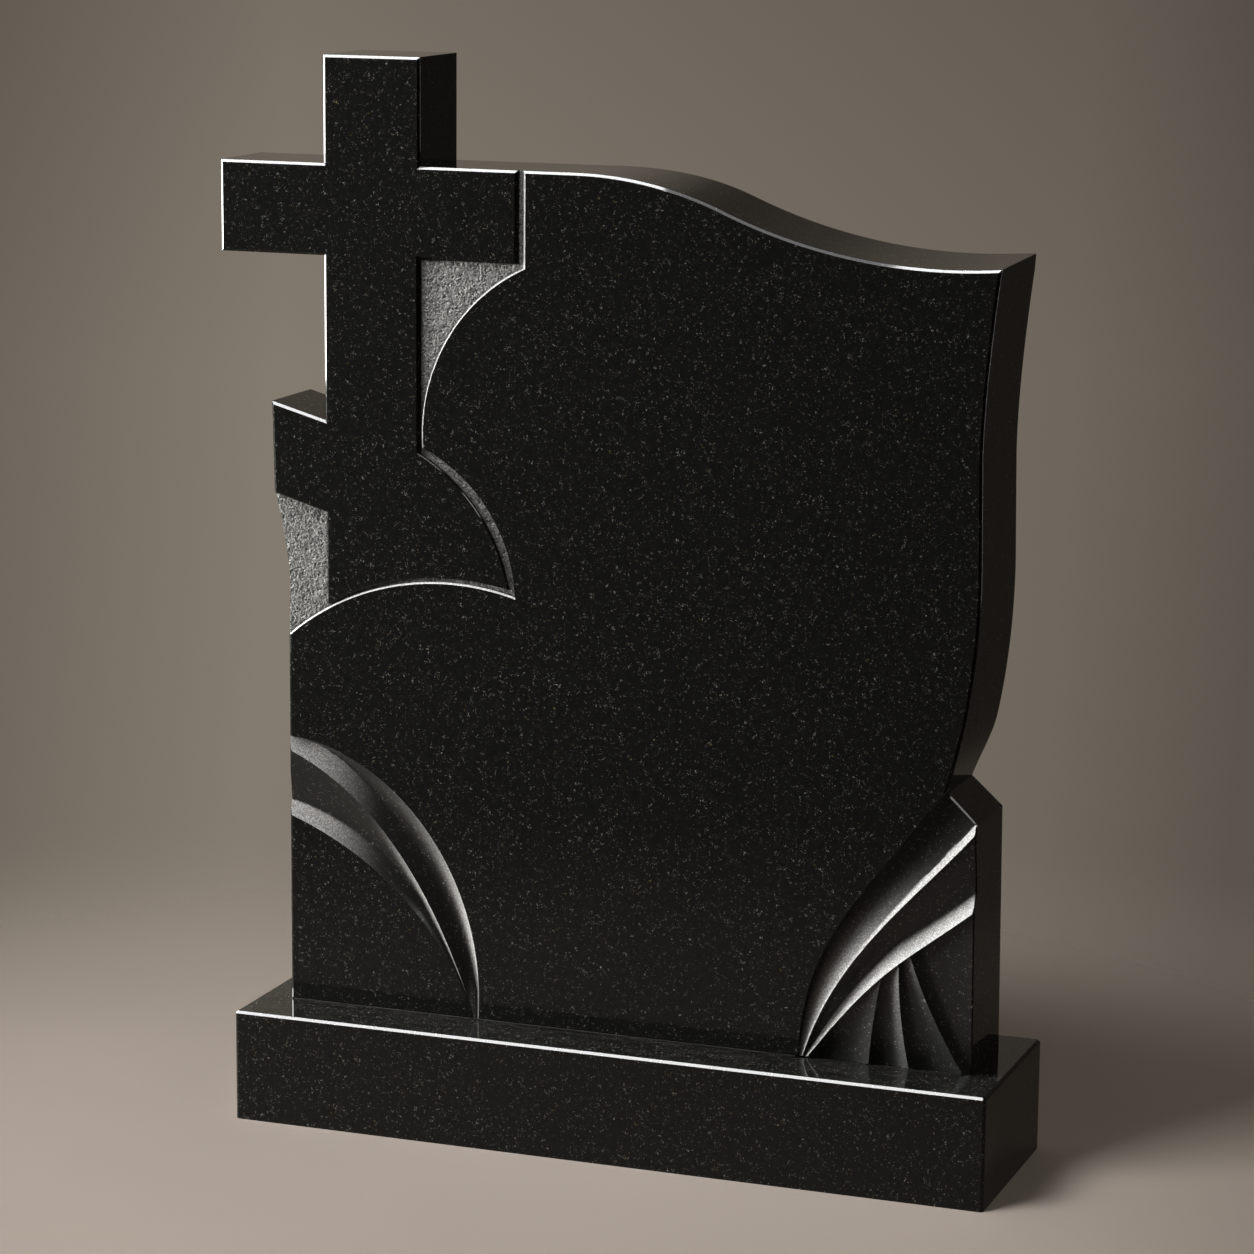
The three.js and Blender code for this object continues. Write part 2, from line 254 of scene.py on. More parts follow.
def place(flat, depth):
    """A point of the front's plane at a depth behind it, in metres"""
    return Vector((flat.x, FRONT + depth, flat.y)) * MM


# Meshes


def new_piece(name, bm, materials):
    bmesh.ops.recalc_face_normals(bm, faces=bm.faces)
    mesh = bpy.data.meshes.new(name)
    bm.to_mesh(mesh)
    bm.free()
    for material in materials:
        mesh.materials.append(material)
    piece = bpy.data.objects.new(name, mesh)
    bpy.context.scene.collection.objects.link(piece)
    return piece


def bridge(bm, lower, upper):
    """Quads between two loops with equal numbers of corners, the first ending at the first corner"""
    return [
        bm.faces.new((lower[i - 1], lower[i], upper[i], upper[i - 1])) for i in range(len(lower))
    ]


def close_rings(bm, rings):
    """A skin over a row of loops with equal numbers of corners, closed at both ends"""
    bm.faces.new(rings[0])
    for lower, upper in zip(rings, rings[1:]):
        bridge(bm, lower, upper)
    bm.faces.new(list(reversed(rings[-1])))


def run_modifier(piece, kind, **settings):
    modifier = piece.modifiers.new(kind.title(), kind)
    for name, value in settings.items():
        setattr(modifier, name, value)
    with bpy.context.temp_override(object=piece, active_object=piece):
        bpy.ops.object.modifier_apply(modifier=modifier.name)


def carve(stone, tool, operation="DIFFERENCE"):
    run_modifier(
        stone,
        "BOOLEAN",
        operation=operation,
        solver="EXACT",
        object=tool,
        material_mode="TRANSFER",
    )
    bpy.data.objects.remove(tool)


def finish_piece(piece, node):
    """Smooth shading that breaks at real edges, and the stone that the piece stands for"""
    mesh = piece.data
    mesh.shade_smooth()
    mesh.set_sharp_from_angle(angle=math.radians(SHARP_ANGLE))
    run_modifier(piece, "WEIGHTED_NORMAL", mode="FACE_AREA", weight=100, keep_sharp=True)
    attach(piece, ROOT)
    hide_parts(node)


# Slab outline

TOP_SLOPE = 2 * math.atan2(ARM_TOP - DIP_Z, DIP_X - CREST_X)
CREST_RADIUS = (DIP_X - CREST_X) / math.sin(TOP_SLOPE) - DIP_RADIUS
CORNER_ANGLE = math.asin((CORNER_X - DIP_X) / DIP_RADIUS)
CORNER_Z = DIP_Z + DIP_RADIUS * (1 - math.cos(CORNER_ANGLE))


def bar_rise(x):
    return BAR_TOP - (x - BAR_LEFT) * BAR_SLOPE


def bar_underside(x):
    return bar_rise(x) - BAR_HEIGHT


def top_edge(steps):
    """The panel's top edge from the right corner to the crest: two arcs that meet with one slope"""
    points = []
    for i in range(steps + 1):
        angle = CORNER_ANGLE - (CORNER_ANGLE + TOP_SLOPE) * i / steps
        dip = Vector((math.sin(angle), 1 - math.cos(angle)))
        points.append(Vector((DIP_X, DIP_Z)) + dip * DIP_RADIUS)
    for i in range(1, steps + 1):
        angle = TOP_SLOPE * (1 - i / steps)
        crest = Vector((math.sin(angle), math.cos(angle) - 1))
        points.append(Vector((CREST_X, ARM_TOP)) + crest * CREST_RADIUS)
    return points


# The slab's left edge along the sunk ground, below the slanted bar
GROUND_EDGE = bezier(
    (BAR_FOOT + 1, bar_underside(BAR_FOOT) - 2), (-405, 634), (LEFT, 634), GROUND_FOOT
)


def smooth(share):
    """0 to 1 with level ends, and level beyond them"""
    share = min(1, max(0, share))
    return share * share * (3 - 2 * share)


def slab_outline(lean):
    """Counter-clockwise from the lower left corner, seen from the front. The lean is 0 for the
    outline at the front and 1 for the outline at the back."""
    upper_side = bezier(WAIST, (WAIST[0], 880), (417, 960), (CORNER_X, CORNER_Z))
    lower_side = bezier(NOTCH, (397, 510), (BELLY[0], 590), BELLY)

    def sideways(p):
        share = (p.y - SIDE_LEAN_LOW) / (SIDE_LEAN_HIGH - SIDE_LEAN_LOW)
        return p + Vector((lean * SIDE_LEAN * smooth(share), 0))

    def upwards(p):
        share = (p.x - TOP_LEAN_LEFT) / (TOP_LEAN_RIGHT - TOP_LEAN_LEFT)
        return p + Vector((0, lean * TOP_LEAN * smooth(share)))

    corner, *top = top_edge(36)
    corners = [
        (LEFT, JOINT),
        (RIGHT + lean * FOOT_LEAN, JOINT),
        (RIGHT + lean * BLOCK_LEAN, BLOCK_Z),
    ]
    cross = [
        (UPRIGHT_RIGHT, ARM_TOP),
        (UPRIGHT_RIGHT, CROSS_TOP),
        (UPRIGHT_LEFT, CROSS_TOP),
        (UPRIGHT_LEFT, ARM_TOP),
        (ARM_LEFT, ARM_TOP),
        (ARM_LEFT, ARM_BOTTOM),
        (UPRIGHT_LEFT, ARM_BOTTOM),
        (UPRIGHT_LEFT, bar_rise(UPRIGHT_LEFT)),
        (BAR_LEFT, BAR_TOP),
        (BAR_FOOT, bar_underside(BAR_FOOT)),
    ]
    return [
        *map(Vector, corners),
        *map(sideways, sampled(lower_side, 36)),
        *map(sideways, sampled(upper_side, 24)[:-1]),
        upwards(sideways(corner)),
        *map(upwards, top),
        *map(Vector, cross),
        *sampled(GROUND_EDGE, 20)[1:],
    ]


def slab_blank(sizes, polished):
    outline, leaned = slab_outline(0), slab_outline(1)
    bm = bmesh.new()
    rings = []
    for width, depth in edge_profile(sizes.chamfer / MM, sizes.rounding / MM):
        # The bottom edge, the outline's first, stands on the plinth with a smaller chamfer
        widths = [width * JOINT_SHARE if i == 0 else width for i in range(len(outline))]
        rings.append([bm.verts.new(place(p, depth)) for p in inset(outline, widths)])
    arris = sizes.back_arris / MM
    thickness = BACK - FRONT
    rings.append([bm.verts.new(place(p, thickness - arris)) for p in leaned])
    back = inset(leaned, [arris] * len(leaned))
    rings.append([bm.verts.new(place(p, thickness)) for p in back])
    close_rings(bm, rings)
    return new_piece("headstone_slab_carved", bm, [polished])


def mortar_line(mortar):
    """The thin pale line of mortar that shows in the joint below the slab's bottom chamfer, as far
    as the fan"""
    low = Vector((LEFT + 3, FRONT + 2.4, JOINT)) * MM
    high = Vector((RIBBON_WALL(1).x - 4, FRONT + 8, JOINT + 1)) * MM
    bm = bmesh.new()
    bmesh.ops.create_cube(bm, size=1)
    for vertex in bm.verts:
        vertex.co = (low + high) / 2 + vertex.co * (high - low)
    return new_piece("mortar_line", bm, [mortar])


# Sunk ground


# The finishes that the ground cutter leaves, in the order of its materials; the last is the fan's
# material, whose frosted grey is painted light on the faces turned up and left
POLISHED, ROUGH, LIT_FROST = range(3)


def ground_stretches():
    """Counter-clockwise parts of the ground's edge, each with the width of the chamfer along it
    and that chamfer's finish"""
    left = GROUND_EDGE(0).x - OVERSHOOT
    above = ARM_TOP + OVERSHOOT
    foot_below = GROUND_FOOT[1] - OVERSHOOT
    bulge = arc_through((UPRIGHT_RIGHT, 785), (-197, 748.5), (-138.5, 637), 40)
    sole = arc_through((-138.5, 637), (-225, 644.2), (LOWER_LEFT, 604.5), 50)
    mound = arc_through(GROUND_FOOT, (-225, 640.2), (-130.3, 629.3), 60)
    band = arc_through((-130.3, 629.3), (-185.5, 753.5), (-243.6, 793), 40)
    triangle = arc_through((-243.6, 793), (-197, 942), (STRIP_RIGHT, 1000.5), 50)
    return [
        ([Vector((ARM_RIGHT, above))], CROSS_EDGE, POLISHED),
        ([Vector((ARM_RIGHT, ARM_BOTTOM))], CROSS_EDGE, POLISHED),
        ([Vector((UPRIGHT_RIGHT, ARM_BOTTOM))], CROSS_EDGE, POLISHED),
        (bulge[:-1], ARC_EDGE, POLISHED),
        (sole, PANEL_EDGE, POLISHED),
        ([Vector((LOWER_LEFT, bar_underside(LOWER_LEFT)))], PANEL_EDGE, POLISHED),
        ([Vector((left, bar_underside(left)))], 0, POLISHED),
        ([Vector((left, foot_below))], PANEL_EDGE, POLISHED),
        # The mound's and the triangle's chamfers take the fan's material: painted light, pale where
        # they face up and left
        (mound[:-1], PANEL_EDGE, LIT_FROST),
        (band[:-1], ARC_EDGE, POLISHED),
        (triangle[:-1], PANEL_EDGE, LIT_FROST),
        (triangle[-1:], CROSS_EDGE, LIT_FROST),
        ([Vector((STRIP_RIGHT, above))], 0, POLISHED),
    ]


def inside_points(loop, spacing):
    """Staggered points inside a loop, each with its distance to the loop, none too near to it"""
    corners = np.array([tuple(p) for p in loop])
    ends = np.roll(corners, -1, axis=0)
    low, high = corners.min(0), corners.max(0)
    rows = np.arange(low[1], high[1], spacing * math.sqrt(3) / 2)
    columns = np.arange(low[0], high[0], spacing)
    grid = np.array([(x + spacing / 2 * (j % 2), z) for j, z in enumerate(rows) for x in columns])
    crossings = np.zeros(len(grid), bool)
    distance = np.full(len(grid), 1e9)
    for start, end in zip(corners, ends):
        along = end - start
        offset = grid - start
        share = np.clip(offset @ along / max(along @ along, 1e-12), 0, 1)
        distance = np.minimum(distance, np.linalg.norm(offset - share[:, None] * along, axis=1))
        if start[1] != end[1]:
            spans = (grid[:, 1] < start[1]) != (grid[:, 1] < end[1])
            meets = start[0] + along[0] * (grid[:, 1] - start[1]) / along[1]
            crossings ^= spans & (grid[:, 0] < meets)
    keep = crossings & (distance > spacing * 0.6)
    return [(Vector(p), d) for p, d in zip(grid[keep], distance[keep])]


def hammered(flat, grain):
    """Height of the hammered crumb from -1 to 1: worm-like ridges between bruised hollows"""
    spot = Vector((flat.x, flat.y, 0)) / grain
    bend = noise.noise(spot * 0.7 + Vector((31, 7, 3)))
    ridge = 1 - 2.6 * abs(noise.noise(spot * 0.75 + Vector((bend, -bend, 0))))
    return 0.75 * ridge + 0.5 * noise.noise(spot * 1.9)


def ground_cutter(sizes, polished, rough, painted_lit_frost):
    stretches = ground_stretches()
    floor = [p for points, _, _ in stretches for p in points]
    edges = [edge for points, edge, _ in stretches for _ in points]
    finishes = [finish for points, _, finish in stretches for _ in points]
    opening = inset(floor, [-edge for edge in edges])
    bottom = sizes.ground_depth / MM
    bm = bmesh.new()
    # The chamfers slope at 45 degrees, and the sides outside the stone have none
    slopes = [edge or CROSS_EDGE for edge in edges]
    clear = [bm.verts.new(place(p, -OVERSHOOT)) for p in opening]
    upper = [bm.verts.new(place(p, 0)) for p in opening]
    lower = [bm.verts.new(place(p, slope)) for p, slope in zip(floor, slopes)]
    foot = [bm.verts.new(place(p, bottom)) for p in floor]
    bm.faces.new(list(reversed(clear)))
    bridge(bm, clear, upper)
    for i, face in enumerate(bridge(bm, upper, lower)):
        face.material_index = finishes[i - 1]
    bridge(bm, lower, foot)
    grain = sizes.ground_grain / MM
    relief = sizes.ground_relief / MM
    inner = inside_points(floor, grain / 2)
    count = len(floor)
    rim = [(i, (i + 1) % count) for i in range(count)]
    flat = floor + [p for p, _ in inner]
    result = geometry.delaunay_2d_cdt(flat, rim, [list(range(count))], 1, 1e-6)
    points, faces, origins = result[0], result[2], result[3]
    made = []
    for p, origin in zip(points, origins):
        if origin and origin[0] < count:
            made.append(foot[origin[0]])
            continue
        fade = min(1, inner[origin[0] - count][1] / grain)
        made.append(bm.verts.new(place(p, bottom - relief * fade * hammered(p, grain))))
    for face in faces:
        bm.faces.new([made[i] for i in face]).material_index = ROUGH
    return new_piece("ground_cutter", bm, [polished, rough, painted_lit_frost])


# Carved hollows


def carving_cutter(name, rows, material):
    """The space between a carved surface, given as rows of points, and a plane clear of the front"""
    bm = bmesh.new()
    deep = [[bm.verts.new(place(flat, depth)) for flat, depth in row] for row in rows]
    clear = [[bm.verts.new(place(flat, -OVERSHOOT)) for flat, _ in row] for row in rows]
    last_row, last = len(rows) - 1, len(rows[0]) - 1
    for sheet in (deep, clear):
        for i in range(last_row):
            for j in range(last):
                a, b = sheet[i][j], sheet[i][j + 1]
                c, d = sheet[i + 1][j + 1], sheet[i + 1][j]
                bm.faces.new((a, b, c))
                bm.faces.new((a, c, d))
    rim = [(0, j) for j in range(last)]
    rim += [(i, last) for i in range(last_row)]
    rim += [(last_row, j) for j in range(last, 0, -1)]
    rim += [(i, 0) for i in range(last_row, 0, -1)]
    bridge(bm, [deep[i][j] for i, j in rim], [clear[i][j] for i, j in rim])
    return new_piece(name, bm, [material])


def bowl(share, valley, straightness):
    """A hollow's depth across it: 0 at both edges and 1 in its valley, between round and V-shaped"""
    if share < valley:
        rise = share / valley
    else:
        rise = (1 - share) / (1 - valley)
    return straightness * rise + (1 - straightness) * math.sin(math.pi / 2 * rise)


# Two flutes between three sweeping arrises that run together at the foot
UPPER_ARRIS = bezier((-414, 447), (-283, 439), (-160, 304), (-174, 127))
MIDDLE_ARRIS = bezier((-415, 431), (-262, 372), (-203, 198), (-176, 127))
LOWER_ARRIS = bezier((-415, 355), (-284, 309), (-213, 224), (-178, 127))
ARRIS_WIDTH = 0.9
ARRIS_SINK = 0.5
ARRIS_LIFT = 0.4
FLUTE_STEEPNESS = 0.34
FLUTE_ROWS = 120
FLUTE_COLUMNS = 24

# Over the first share of the sweep the flutes turn from V-shaped to nearly round, while their
# valleys drift to the middle, the upper one from its upper side and the lower one from its lower
FLUTE_TURN = 0.38
FLUTE_ROUNDNESS = 0.8
UPPER_VALLEY, UPPER_DRIFT = 0.1, 0.42
LOWER_VALLEY, LOWER_DRIFT = 0.8, -0.28


def fluted_row(along, sizes):
    """One row of points across both flutes, at a share of the way down"""
    upper, middle, lower = (arris(along) for arris in (UPPER_ARRIS, MIDDLE_ARRIS, LOWER_ARRIS))
    turn = min(1, along / FLUTE_TURN)
    straightness = 1 - FLUTE_ROUNDNESS * smooth(turn)
    upper_valley = UPPER_VALLEY + UPPER_DRIFT * smooth(turn)
    lower_valley = LOWER_VALLEY + LOWER_DRIFT * turn
    row = []
    for start, end, full, valley in (
        (upper, middle, sizes.flute_depth / MM, upper_valley),
        (middle, lower, sizes.lower_flute_depth / MM, lower_valley),
    ):
        across = end - start
        width = across.length
        depth = min(full, FLUTE_STEEPNESS * width)
        arris = min(ARRIS_WIDTH, width / 4)
        shares = [j / FLUTE_COLUMNS for j in range(FLUTE_COLUMNS + 1)]
        if start is upper:
            row.append((start - across * (arris / width), -arris * ARRIS_LIFT))
        else:
            shares = shares[1:]
        for v in shares:
            hollow = depth * bowl(v, valley, straightness)
            row.append((start + across * v, ARRIS_SINK * arris + hollow))
    beyond = (lower - middle).normalized() * ARRIS_WIDTH
    row.append((lower + beyond, -ARRIS_WIDTH * ARRIS_LIFT))
    return row


def flute_rows(sizes):
    return [fluted_row(i / FLUTE_ROWS, sizes) for i in range(FLUTE_ROWS + 1)]


# The fan: two long ribbons, each rising to a crest, and pleats that spread below them
RIBBON_WALL = bezier((378, 452), (294, 330), (216, 274), (213, 126))
UPPER_CREST = bezier((413, 406), (342, 321), (252, 252), (217, 126))
LOWER_CREST = bezier((410, 315), (327, 247), (305, 243), (220, 126))
TOE = PLINTH_HIGH.z - 4
# Each pleat's crest starts at a share along the lower crest and ends at a place on the foot
PLEATS = [(-0.12, 480, 0), (0.34, 407, 6), (0.42, 343, 4), (0.545, 295, 2), (1, 220, 0)]
CREST_DEPTH = 0.6
PLEAT_CREST = 2

# The first ribbon's steep strip below the upper crest, narrowing over a share of the sweep
STRIP_WIDTH = 8
STRIP_NARROWING = 0.75
STRIP_SWEEP = 0.7
STRIP_LIMIT = 0.2
STRIP_STEEPNESS = 0.9

# The second ribbon's rise to the lower crest
RISE_WIDTH = 23
RISE_LIMIT = 0.42
RIBBON_START = 1.5

# How strongly the floors and rises of the ribbons and pleats curve, and their greatest depths as
# shares of their widths
FOLD_CURVE = 1.6
FIRST_STEEPNESS = 0.32
SECOND_STEEPNESS = 0.4
PLEAT_STEEPNESS = 0.3

RIBBON_COLUMNS = 28
PLEAT_COLUMNS = 18
FIRST_PLEAT_ROWS, FIRST_PLEAT_VALLEY = 60, 0.82
PLEAT_ROWS, PLEAT_VALLEY = 36, 0.62


def along_crest(curve, along):
    """A place on a curve, or before its start along its first tangent"""
    if along >= 0:
        return curve(along)
    start = curve(0)
    return start + (curve(0.01) - start) / 0.01 * along


def first_hollow(share, width, depth, along):
    """From the wall, a floor that rises gently and then a steep strip up to the crest, wide at the
    right end and narrowing towards the foot"""
    narrowed = STRIP_WIDTH * (1 - STRIP_NARROWING * smooth(along / STRIP_SWEEP))
    strip = min(narrowed, STRIP_LIMIT * width) / width
    edge = 1 - strip
    brink = STRIP_STEEPNESS * strip * width
    if share < edge:
        return depth - (depth - brink) * (share / edge) ** FOLD_CURVE
    rise = (share - edge) / strip
    return CREST_DEPTH + (brink - CREST_DEPTH) * (1 - rise)


def second_hollow(share, width, depth):
    """From the upper crest, a slow fall to the valley and then a steep rise to the lower crest"""
    rise = min(RISE_WIDTH, RISE_LIMIT * width) / width
    valley = 1 - rise
    start = min(depth, CREST_DEPTH + RIBBON_START)
    if share < valley:
        return start + (depth - start) * smooth(share / valley)
    climb = (share - valley) / rise
    return CREST_DEPTH + (depth - CREST_DEPTH) * (1 - climb**FOLD_CURVE)


def fan_stations():
    """Shares along the crest, feet, bows and heights, from the right side to the fan's foot"""
    stations = []
    for index, (here, there) in enumerate(zip(PLEATS, PLEATS[1:])):
        steps = FIRST_PLEAT_ROWS if index == 0 else PLEAT_ROWS
        valley = FIRST_PLEAT_VALLEY if index == 0 else PLEAT_VALLEY
        for j in range(steps):
            share = j / steps
            if share < valley:
                height = 1 - math.sin(math.pi / 2 * share / valley)
            else:
                height = ((share - valley) / (1 - valley)) ** FOLD_CURVE
            spot = [a + (b - a) * share for a, b in zip(here, there)]
            stations.append((*spot, height))
    return [*stations, (*PLEATS[-1], 1)]


def shares_from(start, columns):
    return [start + (1 - start) * j / columns for j in range(columns + 1)]


def fan_row(station, sizes):
    """One row of points from the almost upright wall across both ribbons and down to the foot"""
    along, foot, bow, height = station
    curves = (RIBBON_WALL, UPPER_CREST, LOWER_CREST)
    wall, upper, lower = (along_crest(curve, along) for curve in curves)
    ribbon = sizes.ribbon_depth / MM
    across = upper - wall
    width = across.length
    depth = min(ribbon, FIRST_STEEPNESS * width)
    row = [(wall - across / width * 0.5, -0.3), (wall, 0.4)]
    shares = shares_from(1.5 / width, RIBBON_COLUMNS)
    row += [(wall + across * v, first_hollow(v, width, depth, along)) for v in shares]
    across = lower - upper
    width = across.length
    depth = min(ribbon, SECOND_STEEPNESS * width)
    shares = shares_from(min(0.2, 0.7 / width), RIBBON_COLUMNS)
    row += [(upper + across * v, second_hollow(v, width, depth)) for v in shares]
    across = Vector((foot, TOE)) - lower
    reach = max(across.length, 1)
    pleat = min(sizes.pleat_depth / MM, PLEAT_STEEPNESS * reach)
    shares = shares_from(min(0.3, 1.2 / reach), PLEAT_COLUMNS - 1)
    for j, v in enumerate(shares, 1):
        share = j / PLEAT_COLUMNS
        spread = 0.6 + 0.4 * share
        low, high = pleat * spread, min(pleat, PLEAT_CREST) * spread
        bowed = Vector((-bow * 4 * share * (1 - share), 0))
        row.append((lower + across * v + bowed, high + (low - high) * (1 - height)))
    return row


def fan_rows(sizes):
    return [fan_row(station, sizes) for station in fan_stations()]


def edge_cutter(slab, start, end, width, steps, polished):
    """A swept cutter that chamfers the edge between the carving and the slab's side, from a start
    to an end on the outline, with the stone on the left of the way"""
    tree = BVHTree.FromObject(slab, bpy.context.evaluated_depsgraph_get())
    start, end = Vector(start), Vector(end)
    along = (end - start).normalized()
    inward = Vector((-along.y, along.x))

    def depth_at(flat):
        hit = tree.ray_cast(place(flat, -OVERSHOOT), Vector((0, 1, 0)))[0]
        return hit.y / MM - FRONT

    bm = bmesh.new()
    rings = []
    for i in range(steps + 1):
        p = start + (end - start) * (i / steps)
        edge = depth_at(p + inward * 0.1)
        brink = depth_at(p + inward * width)
        # The chamfer runs on a little past the side, which leans
        toe = edge + width + (edge + width - brink) / 2
        corners = (
            (p + inward * width, brink),
            (p - inward * width / 2, toe),
            (p - inward * 3 * width, toe),
            (p - inward * 3 * width, edge - 3 * width),
            (p + inward * width, edge - 3 * width),
        )
        rings.append([bm.verts.new(place(*corner)) for corner in corners])
    close_rings(bm, rings)
    return new_piece("edge_cutter", bm, [polished])


# Materials


# Where a blend of two colours has its share, its colours and its result
SHARE, FIRST, SECOND = 0, 6, 7
BLEND = 2


def add(tree, kind, inputs=None, **settings):
    """A node with its settings, its values and its links, each colour value made opaque"""
    node = tree.nodes.new(kind)
    for name, value in settings.items():
        setattr(node, name, value)
    for socket, value in (inputs or {}).items():
        if isinstance(value, bpy.types.NodeSocket):
            tree.links.new(value, node.inputs[socket])
        elif node.inputs[socket].type == "RGBA":
            node.inputs[socket].default_value = (*value, 1)
        else:
            node.inputs[socket].default_value = value
    return node


def new_material(name):
    material = bpy.data.materials.new(name)
    material.use_nodes = True
    tree = material.node_tree
    tree.nodes.clear()
    surface = add(tree, "ShaderNodeBsdfPrincipled")
    add(tree, "ShaderNodeOutputMaterial", {"Surface": surface.outputs["BSDF"]})
    return material, tree, surface


def dress(tree, surface, tone, gloss, bump):
    """Link a stone's blended colour, its roughness and its fine relief to its surface"""
    tree.links.new(tone.outputs[BLEND], surface.inputs["Base Color"])
    tree.links.new(gloss.outputs["Result"], surface.inputs["Roughness"])
    tree.links.new(bump.outputs["Normal"], surface.inputs["Normal"])


def speckle(tree, spot, size):
    """Masks for the pale and the bronze crystals of the granite, worked out from a crystal's length"""
    frequency = 1 / size
    bend = add(tree, "ShaderNodeTexNoise", {"Vector": spot, "Scale": frequency, "Detail": 1})
    shift = add(
        tree,
        "ShaderNodeVectorMath",
        {0: bend.outputs["Color"], 1: (4 * size, 4 * size, 4 * size)},
        operation="MULTIPLY",
    )
    bent = add(
        tree, "ShaderNodeVectorMath", {0: spot, 1: shift.outputs["Vector"]}, operation="ADD"
    )
    cells = add(
        tree, "ShaderNodeTexVoronoi", {"Vector": bent.outputs["Vector"], "Scale": frequency / 1.4}
    )
    body = add(
        tree,
        "ShaderNodeMapRange",
        {"Value": cells.outputs["Distance"], "From Min": 0.36, "From Max": 0.1},
    )
    chance = add(tree, "ShaderNodeSeparateXYZ", {"Vector": cells.outputs["Color"]})
    shine = add(
        tree,
        "ShaderNodeMapRange",
        {"Value": chance.outputs["X"], "From Min": 0.56, "From Max": 0.95},
    )
    crystals = add(
        tree,
        "ShaderNodeMath",
        {0: body.outputs["Result"], 1: shine.outputs["Result"]},
        operation="MULTIPLY",
    )
    clusters = add(
        tree,
        "ShaderNodeTexNoise",
        {"Vector": spot, "Scale": frequency * 0.22, "Detail": 2},
    )
    density = add(
        tree,
        "ShaderNodeMapRange",
        {"Value": clusters.outputs["Fac"], "From Min": 0.36, "From Max": 0.62, "To Min": 0.25},
    )
    pale = add(
        tree,
        "ShaderNodeMath",
        {0: crystals.outputs["Value"], 1: density.outputs["Result"]},
        operation="MULTIPLY",
    )
    tint = add(
        tree,
        "ShaderNodeTexNoise",
        {"Vector": spot, "Scale": frequency * 0.35, "Detail": 1},
    )
    bronze = add(
        tree,
        "ShaderNodeMapRange",
        {"Value": tint.outputs["Fac"], "From Min": 0.56, "From Max": 0.66},
    )
    return pale.outputs["Value"], bronze.outputs["Result"]


def facing(tree, direction, low, high):
    """A mask for surfaces that face a direction, from 0 to 1 as the cosine to it goes from low to
    high"""
    normal = add(tree, "ShaderNodeNewGeometry").outputs["Normal"]
    cosine = add(tree, "ShaderNodeVectorMath", {0: normal, 1: direction}, operation="DOT_PRODUCT")
    mask = add(
        tree,
        "ShaderNodeMapRange",
        {"Value": cosine.outputs["Value"], "From Min": low, "From Max": high},
        interpolation_type="SMOOTHSTEP",
    )
    return mask.outputs["Result"]


def wipe_marks(tree, spot):
    """A mask for the dull lengthwise smears that wiping leaves on faces that look up"""
    stretched = add(tree, "ShaderNodeMapping", {"Vector": spot, "Scale": (0.3, 1, 1)})
    smears = add(
        tree,
        "ShaderNodeTexNoise",
        {"Vector": stretched.outputs["Vector"], "Scale": 150, "Detail": 4, "Roughness": 0.7},
    )
    dull = add(
        tree,
        "ShaderNodeMapRange",
        {"Value": smears.outputs["Fac"], "From Min": 0.46, "From Max": 0.68, "To Max": 0.45},
    )
    marks = add(
        tree,
        "ShaderNodeMath",
        {0: dull.outputs["Result"], 1: facing(tree, (0, 0, 1), 0.9, 0.99)},
        operation="MULTIPLY",
    )
    return marks.outputs["Value"]


def polished_granite(sizes, colours):
    """Black gabbro sawn and polished to a mirror: near-black with pale, slightly curved crystals
    about 2 mm long, a few of them bronze. The crystals are drawn a little coarse so that they show.
    The low index keeps the mirror as dark face-on as such a stone looks."""
    material, tree, surface = new_material("polished_black_granite")
    spot = add(tree, "ShaderNodeTexCoord").outputs["Object"]
    pale, bronze = speckle(tree, spot, sizes.crystal)
    clouds = add(tree, "ShaderNodeTexNoise", {"Vector": spot, "Scale": 1 / 0.006, "Detail": 2})
    mass = add(
        tree,
        "ShaderNodeMix",
        {SHARE: clouds.outputs["Fac"], FIRST: colours.black, SECOND: colours.charcoal},
        data_type="RGBA",
    )
    crystal = add(
        tree,
        "ShaderNodeMix",
        {SHARE: bronze, FIRST: colours.crystal, SECOND: colours.gold},
        data_type="RGBA",
    )
    stone = add(
        tree,
        "ShaderNodeMix",
        {SHARE: pale, FIRST: mass.outputs[BLEND], SECOND: crystal.outputs[BLEND]},
        data_type="RGBA",
    )
    wiped = add(
        tree,
        "ShaderNodeMix",
        {SHARE: wipe_marks(tree, spot), FIRST: stone.outputs[BLEND], SECOND: colours.wiped},
        data_type="RGBA",
    )
    gloss = add(tree, "ShaderNodeMapRange", {"Value": pale, "To Min": 0.07, "To Max": 0.2})
    surface.inputs["IOR"].default_value = 1.25
    bump = add(
        tree,
        "ShaderNodeBump",
        {"Height": clouds.outputs["Fac"], "Strength": 0.04, "Distance": 0.0004},
    )
    dress(tree, surface, wiped, gloss, bump)
    return material


def flutes_lit_frost(tree, spot):
    """Where the flutes show the wheel's frosted grey, painted only where they face the light, as
    painted
    light: their left-facing sides and, at the left end, all that faces up"""
    left = facing(tree, (-0.95, 0, 0.3), 0.12, 0.5)
    up = facing(tree, (-0.2, 0, 0.98), 0, 0.24)
    parts = add(tree, "ShaderNodeSeparateXYZ", {"Vector": spot})
    end = add(
        tree,
        "ShaderNodeMapRange",
        {"Value": parts.outputs["X"], "From Min": -0.29, "From Max": -0.38},
        interpolation_type="SMOOTHSTEP",
    )
    ended = add(tree, "ShaderNodeMath", {0: up, 1: end.outputs["Result"]}, operation="MULTIPLY")
    painted_lit_frost = add(tree, "ShaderNodeMath", {0: left, 1: ended.outputs["Value"]}, operation="MAXIMUM")
    return painted_lit_frost.outputs["Value"]


def fan_lit_frost(tree, spot):
    """The wheel's frosted grey on the fan, painted only where it faces the light, as painted light:
    most on what faces up and left
    """
    return facing(tree, (-0.6, 0, 0.8), 0.06, 0.5)


